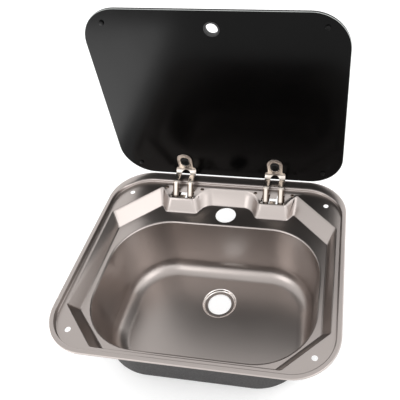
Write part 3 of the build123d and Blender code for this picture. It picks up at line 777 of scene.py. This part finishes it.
def set_down(tree, given, material, *shapes):
    """Ends a tree: the shapes at every spot, turned, made real and given their material."""
    together = add_node(tree, "GeometryNodeJoinGeometry")
    for shape in shapes:
        tree.links.new(shape, together.inputs["Geometry"])
    turned = add_node(tree, "FunctionNodeEulerToRotation", None, {"Euler": given["Turn"]})
    copies = add_node(
        tree,
        "GeometryNodeInstanceOnPoints",
        None,
        {
            "Points": given["Spots"],
            "Instance": together.outputs["Geometry"],
            "Rotation": turned.outputs["Rotation"],
        },
    )
    real = add_node(
        tree, "GeometryNodeRealizeInstances", None, {"Geometry": copies.outputs["Instances"]}
    )
    painted = add_node(
        tree,
        "GeometryNodeSetMaterial",
        None,
        {"Geometry": real.outputs["Geometry"], "Material": material},
    )
    add_node(tree, "NodeGroupOutput", None, {"Pieces": painted.outputs["Geometry"]})


def grow(tree, sizes, spots, node_name, turn=(0, 0, 0), edge=0.00012):
    """Runs the tree on the spots and keeps the plain mesh, which stands for the CAD node."""
    mesh = bpy.data.meshes.new(node_name + "_spots")
    mesh.from_pydata([tuple(spot) for spot in spots], [], [])
    piece = bpy.data.objects.new(node_name + "_grown", mesh)
    bpy.context.scene.collection.objects.link(piece)
    grower = piece.modifiers.new("grower", "NODES")
    grower.node_group = tree
    for socket in tree.interface.items_tree:
        if socket.in_out == "INPUT" and socket.name in sizes:
            grower[socket.identifier] = sizes[socket.name]
        elif socket.name == "Turn":
            grower[socket.identifier] = turn
    plain = plain_mesh(piece)
    piece.modifiers.remove(grower)
    plain.name = piece.name
    piece.data = plain
    plain.shade_smooth()
    plain.set_sharp_from_angle(angle=SMOOTH_BELOW)
    soften = piece.modifiers.new("soften_edges", "BEVEL")
    soften.width, soften.segments, soften.limit_method = edge, 2, "ANGLE"
    soften.angle_limit = SOFTEN_ABOVE
    soften.harden_normals = False
    stand_for(piece, node_name)
    print(piece.name, "faces", len(plain.polygons), "spots", len(mesh.vertices))


# %% [markdown]
# ## Hinge screws
# Two machine screws with cross recesses hold each bracket under its pedestal. The head is a
# flattened ball cut to a cylinder, which gives the low dome and short side of a pan head. Two bars
# cut the cross, and the thread is a helix swept with a three-sided profile round a plain core.

# %% Shape the screw's head
PAN_DOME = 1.15
screw_tree, given = new_tree(
    "pan_head_screw",
    (
        "Head radius",
        "Head height",
        "Recess width",
        "Slot",
        "Shank radius",
        "Shank length",
        "Pitch",
    ),
)
head = round_bar(screw_tree, given["Head radius"], given["Head height"], 0.5)
pan = domed(screw_tree, head, given["Head radius"], given["Head height"], PAN_DOME)
recessed = add_node(
    screw_tree, "GeometryNodeMeshBoolean", {"operation": "DIFFERENCE"}, {"Mesh 1": pan}
)
for across, along in (("Recess width", "Slot"), ("Slot", "Recess width")):
    bar_size = add_node(
        screw_tree,
        "ShaderNodeCombineXYZ",
        None,
        {"X": given[across], "Y": given[along], "Z": given["Head height"]},
    )
    bar = add_node(screw_tree, "GeometryNodeMeshCube", None, {"Size": bar_size.outputs["Vector"]})
    bar_place = add_node(screw_tree, "ShaderNodeCombineXYZ", None, {"Z": given["Head height"]})
    raised = add_node(
        screw_tree,
        "GeometryNodeTransform",
        None,
        {"Geometry": bar.outputs["Mesh"], "Translation": bar_place.outputs["Vector"]},
    )
    screw_tree.links.new(raised.outputs["Geometry"], recessed.inputs["Mesh 2"])
print("head made of", len(screw_tree.nodes), "nodes")

# %% Shape its thread
CORE_SHARE, RIDGE_SHARE, THREADED_SHARE = 0.84, 0.16, 0.97
core_radius, ridge_radius, thread_drop = (
    add_node(
        screw_tree, "ShaderNodeMath", {"operation": "MULTIPLY"}, {0: given[size], 1: share}
    ).outputs[0]
    for size, share in (
        ("Shank radius", CORE_SHARE),
        ("Shank radius", RIDGE_SHARE),
        ("Shank length", -THREADED_SHARE),
    )
)
core = round_bar(screw_tree, core_radius, given["Shank length"], -0.5, 20)
turns = add_node(
    screw_tree,
    "ShaderNodeMath",
    {"operation": "DIVIDE"},
    {0: given["Shank length"], 1: given["Pitch"]},
)
helix = add_node(
    screw_tree,
    "GeometryNodeCurveSpiral",
    None,
    {
        "Resolution": 18,
        "Rotations": turns.outputs[0],
        "Start Radius": core_radius,
        "End Radius": core_radius,
        "Height": thread_drop,
    },
)
ridge = add_node(
    screw_tree,
    "GeometryNodeCurvePrimitiveCircle",
    None,
    {"Resolution": 3, "Radius": ridge_radius},
)
thread = add_node(
    screw_tree,
    "GeometryNodeCurveToMesh",
    None,
    {"Curve": helix.outputs["Curve"], "Profile Curve": ridge.outputs["Curve"], "Fill Caps": True},
)
set_down(
    screw_tree, given, shaded_screw_steel, recessed.outputs["Mesh"], core, thread.outputs["Mesh"]
)
print("screw made of", len(screw_tree.nodes), "nodes")

# %% Grow the screws that hold the brackets
PAN_RADIUS, PAN_HEIGHT = 0.0032, 0.0019
outer_x, _, head_top = box_of("hinge_screws")[1]
SCREW_SIDE = round(outer_x - PAN_RADIUS - HINGE_X, 5)
SCREW_SEAT = round(head_top - PAN_HEIGHT, 5)
SCREW_Y = middle_of("hinge_screws")[1]
screw_xs = [side * HINGE_X + hand * SCREW_SIDE for side in (-1, 1) for hand in (-1, 1)]
grow(
    screw_tree,
    {
        "Head radius": PAN_RADIUS,
        "Head height": PAN_HEIGHT,
        "Recess width": 0.0042,
        "Slot": 0.0009,
        "Shank radius": 0.0015,
        "Shank length": 0.009,
        "Pitch": 0.0005,
    },
    [(x, SCREW_Y, SCREW_SEAT) for x in screw_xs],
    "hinge_screws",
)
print("screws at x", [round(x, 4) for x in screw_xs], "y", SCREW_Y, "z", SCREW_SEAT)

# %% [markdown]
# ## Nuts
# A hexagon nut is a six-sided bar whose corners were turned off at a slant. What such a bar shares
# with a flattened ball has the same curved corner marks. One tree makes the small nuts under the
# ledge and, larger and turned on their side, the lock nuts on the hinge pins.

# %% Grow the nuts
BALL_WIDE, BALL_HIGH, BORE_OVER = 1.06, 0.95, 1.5
nut_tree, given = new_tree("hexagon_nut", ("Corner radius", "Height", "Hole radius"))
blank = round_bar(nut_tree, given["Corner radius"], given["Height"], 0.0, 6)
turned = domed(
    nut_tree, blank, given["Corner radius"], given["Height"], BALL_WIDE, BALL_HIGH, False
)
bore_length = add_node(
    nut_tree, "ShaderNodeMath", {"operation": "MULTIPLY"}, {0: given["Height"], 1: BORE_OVER}
)
bore = round_bar(nut_tree, given["Hole radius"], bore_length.outputs[0], 0.0)
bored = add_node(
    nut_tree,
    "GeometryNodeMeshBoolean",
    {"operation": "DIFFERENCE"},
    {"Mesh 1": turned, "Mesh 2": bore},
)
set_down(nut_tree, given, fixing_steel, bored.outputs["Mesh"])
NUT_Z = middle_of("hinge_nuts")[2]
grow(
    nut_tree,
    {"Corner radius": 0.003175, "Height": 0.0024, "Hole radius": 0.00155},
    [(x, SCREW_Y, NUT_Z) for x in screw_xs],
    "hinge_nuts",
)
for side in ("left", "right"):
    grow(
        nut_tree,
        {"Corner radius": 0.004618, "Height": 0.004, "Hole radius": 0.00255},
        [middle_of(f"pin_nut_{side}")],
        f"pin_nut_{side}",
        turn=(0, math.radians(90), 0),
        edge=0.0002,
    )

# %% [markdown]
# ## Lid buffers and clamp screws
# These sit on the lid, so their spots are measured on the lid's own plane: along x, and up the
# glass from its lower edge. The buffers are short rubber cones with a slightly domed foot. The
# clamp screws go through the hinge leaf and the glass, and have a hexagon socket.

# %% Find the lid's plane
glass = [vert.co for vert in nodes["glass_lid"].data.vertices]
lid_up = Vector((0, -math.cos(TRAVEL), math.sin(TRAVEL)))
lid_face = Vector((0, -math.sin(TRAVEL), -math.cos(TRAVEL)))
lid_turn = (math.pi - TRAVEL, 0, 0)
lowest = min(spot.dot(lid_up) for spot in glass)
foremost = max(spot.dot(lid_face) for spot in glass)
lid_foot = lid_up * lowest + lid_face * foremost


def on_lid(across, up, out=0.0):
    """A spot on the open lid, in metres: across, up from its lower edge and out of its face."""
    return Vector((across, 0, 0)) + lid_foot + lid_up * up + lid_face * out


print("lid foot", [round(v, 4) for v in lid_foot])

# %% Grow the buffers
BUFFERS_LOW = (0.166, 0.023)
BUFFERS_HIGH = (0.165, 0.305)
BUFFER_TAPER, BUFFER_DOME = 0.86, 1.6
buffer_tree, given = new_tree("rubber_button", ("Radius", "Height"))
top_radius = add_node(
    buffer_tree,
    "ShaderNodeMath",
    {"operation": "MULTIPLY"},
    {0: given["Radius"], 1: BUFFER_TAPER},
)
cone = add_node(
    buffer_tree,
    "GeometryNodeMeshCone",
    None,
    {
        "Vertices": 40,
        "Radius Bottom": given["Radius"],
        "Radius Top": top_radius.outputs[0],
        "Depth": given["Height"],
    },
)
rubber = cone.outputs["Mesh"]
button = domed(
    buffer_tree, rubber, given["Radius"], given["Height"], BUFFER_DOME, ball_first=False
)
set_down(buffer_tree, given, polished_rubber, button)
grow(
    buffer_tree,
    {"Radius": 0.004, "Height": 0.0028},
    [on_lid(hand * across, up) for across, up in (BUFFERS_LOW, BUFFERS_HIGH) for hand in (-1, 1)],
    "lid_buffers",
    turn=lid_turn,
    edge=0.0003,
)

# %% Grow the clamp screws
CLAMP_UP, CLAMP_SEAT = 0.030, -0.0019
HEAD_DOME = 1.3
socket_tree, given = new_tree(
    "socket_screw",
    ("Head radius", "Head height", "Socket radius", "Shank radius", "Shank length"),
)
head = round_bar(socket_tree, given["Head radius"], given["Head height"], 0.5)
low_dome = domed(socket_tree, head, given["Head radius"], given["Head height"], HEAD_DOME)
key_hole = round_bar(socket_tree, given["Socket radius"], given["Head height"], 1.0, 6)
socketed = add_node(
    socket_tree,
    "GeometryNodeMeshBoolean",
    {"operation": "DIFFERENCE"},
    {"Mesh 1": low_dome, "Mesh 2": key_hole},
)
stem = round_bar(socket_tree, given["Shank radius"], given["Shank length"], -0.5, 24)
set_down(socket_tree, given, black_screw, socketed.outputs["Mesh"], stem)
for side_name, side in (("left", -1), ("right", 1)):
    grow(
        socket_tree,
        {
            "Head radius": 0.0056,
            "Head height": 0.003,
            "Socket radius": 0.00231,
            "Shank radius": 0.003,
            "Shank length": 0.0059,
        },
        [on_lid(side * HINGE_X, CLAMP_UP, CLAMP_SEAT)],
        f"leaf_screw_{side_name}",
        turn=lid_turn,
        edge=0.0003,
    )

# %% [markdown]
# ## The glass lid
# A plate with large corner radii. Its two faces are black; the ground edge is only a narrow pale
# arris along each face, while the band between the two arrises is dark again, since the enamel
# shows through it. So faces that lean between the face and the edge get the ground material, except
# at the foot, where no pale line shows, so its arris keeps the black glass as painted shade.

# %% Dress the lid
EDGE_LEAN, FACE_LEAN = 0.3, 0.9
FOOT_SHADE_TO = 0.012
lid = smooth_copy("glass_lid", lid_glass)
lid.data.materials.append(ground_edge)
# The foot's arris keeps the black glass as painted shade.
for face in lid.data.polygons:
    facing = abs(face.normal.dot(lid_face))
    if EDGE_LEAN < facing < FACE_LEAN and face.center.z > FOOT_SHADE_TO:
        face.material_index = 1
print("lid arris faces", sum(face.material_index == 1 for face in lid.data.polygons))

# %% [markdown]
# ## Floor
# The photograph has no visible floor, only white with a faint shadow. White paint under this light
# comes close to white, and a little of its own light, seen only by the camera and by mirrors and
# glass, lifts it the rest of the way without lighting the sink.

# %% Lay the floor
FLOOR_GLOW = 0.2
FLOOR_SIZE, FLOOR_GAP = 30, 0.001
floor_z = cad_box[0][2] - FLOOR_GAP
bpy.ops.mesh.primitive_plane_add(size=FLOOR_SIZE, location=(0, 0, floor_z))
floor = bpy.context.object
floor.name = "studio_floor"
floor_paint, floor_tree, floor_shader = new_finish(
    "white_paper_floor", 0.0, 0.9, "#F2F2F2", Specular_IOR_Level=0.0
)
rays = add_node(floor_tree, "ShaderNodeLightPath")
mirrored = add_node(
    floor_tree,
    "ShaderNodeMath",
    {"operation": "MAXIMUM"},
    {0: rays.outputs["Is Glossy Ray"], 1: rays.outputs["Is Transmission Ray"]},
)
seen = add_node(
    floor_tree,
    "ShaderNodeMath",
    {"operation": "MAXIMUM"},
    {0: rays.outputs["Is Camera Ray"], 1: mirrored.outputs[0]},
)
glow = add_node(
    floor_tree,
    "ShaderNodeMath",
    {"operation": "MULTIPLY"},
    {0: seen.outputs[0], 1: FLOOR_GLOW},
)
floor_shader.inputs["Emission Color"].default_value = (1, 1, 1, 1)
floor_tree.links.new(glow.outputs[0], floor_shader.inputs["Emission Strength"])
floor.data.materials.append(floor_paint)
print("floor at", round(floor_z, 4))

# %% [markdown]
# ## Light
# Satin metal shows its surroundings, so the room matters more than the lamps. It is even, and a
# little brighter in front below head height, to the right and low behind, where the pedestals, the
# walls and the rim look. Two soft boxes high in front, left and right, draw the bright lines along
# the bends. A low one on the left, close to the floor, puts the sheen on the lid's left side.

# %% Set up the room
ROOM_LEVEL = 1.08
FRONT_GLOW, REAR_GLOW, RIGHT_GLOW = 0.55, 0.45, 0.5
world = bpy.data.worlds.new("studio_room")
bpy.context.scene.world = world
world.use_nodes = True
room_tree = world.node_tree
room = room_tree.nodes["Background"]
heading = add_node(room_tree, "ShaderNodeTexCoord")
split = add_node(
    room_tree, "ShaderNodeSeparateXYZ", None, {"Vector": heading.outputs["Generated"]}
)
fades = []
for axis, start, end, before, after in (
    ("Z", 0.5, 0.9, 1.0, 0.0),
    ("Y", -0.75, 0.1, FRONT_GLOW, 0.0),
    ("X", 0.1, 0.75, ROOM_LEVEL, ROOM_LEVEL + RIGHT_GLOW),
    ("Y", 0.45, 0.8, 0.0, REAR_GLOW),
):
    fade = add_node(
        room_tree,
        "ShaderNodeMapRange",
        {"interpolation_type": "SMOOTHSTEP"},
        {
            "Value": split.outputs[axis],
            "From Min": start,
            "From Max": end,
            "To Min": before,
            "To Max": after,
        },
    )
    fades.append(fade.outputs[0])
low_down, in_front, to_right, behind = fades
band = add_node(
    room_tree, "ShaderNodeMath", {"operation": "MULTIPLY"}, {0: low_down, 1: in_front}
)
sides = add_node(room_tree, "ShaderNodeMath", {"operation": "ADD"}, {0: behind, 1: to_right})
light = add_node(
    room_tree, "ShaderNodeMath", {"operation": "ADD"}, {0: band.outputs[0], 1: sides.outputs[0]}
)
room_tree.links.new(light.outputs[0], room.inputs["Strength"])
room.inputs["Color"].default_value = (1, 1, 1, 1)
print("room set up with", len(fades), "fades")

# %% Hang the soft boxes
def soft_box(name, place, aim, width, height, power):
    """A rectangular lamp at place that faces aim; sizes in metres, power in watts."""
    lamp = bpy.data.lights.new(name, "AREA")
    lamp.shape = "RECTANGLE"
    lamp.size, lamp.size_y, lamp.energy = width, height, power
    holder = bpy.data.objects.new(name, lamp)
    bpy.context.scene.collection.objects.link(holder)
    holder.location = place
    holder.rotation_mode = "QUATERNION"
    holder.rotation_quaternion = (Vector(aim) - Vector(place)).to_track_quat("-Z", "Y")


soft_box("right_soft_box", (0.73, -0.36, 0.98), (-0.15, 0.12, 0), 0.6, 0.6, 1.7)
soft_box("left_soft_box", (-0.62, -0.75, 0.86), (0.1, 0.08, -0.07), 0.6, 0.6, 2.0)
soft_box("low_soft_box", (-0.50, -0.22, -0.135), (-0.50, -0.21, 1), 0.34, 0.62, 3.6)
print("studio lit")
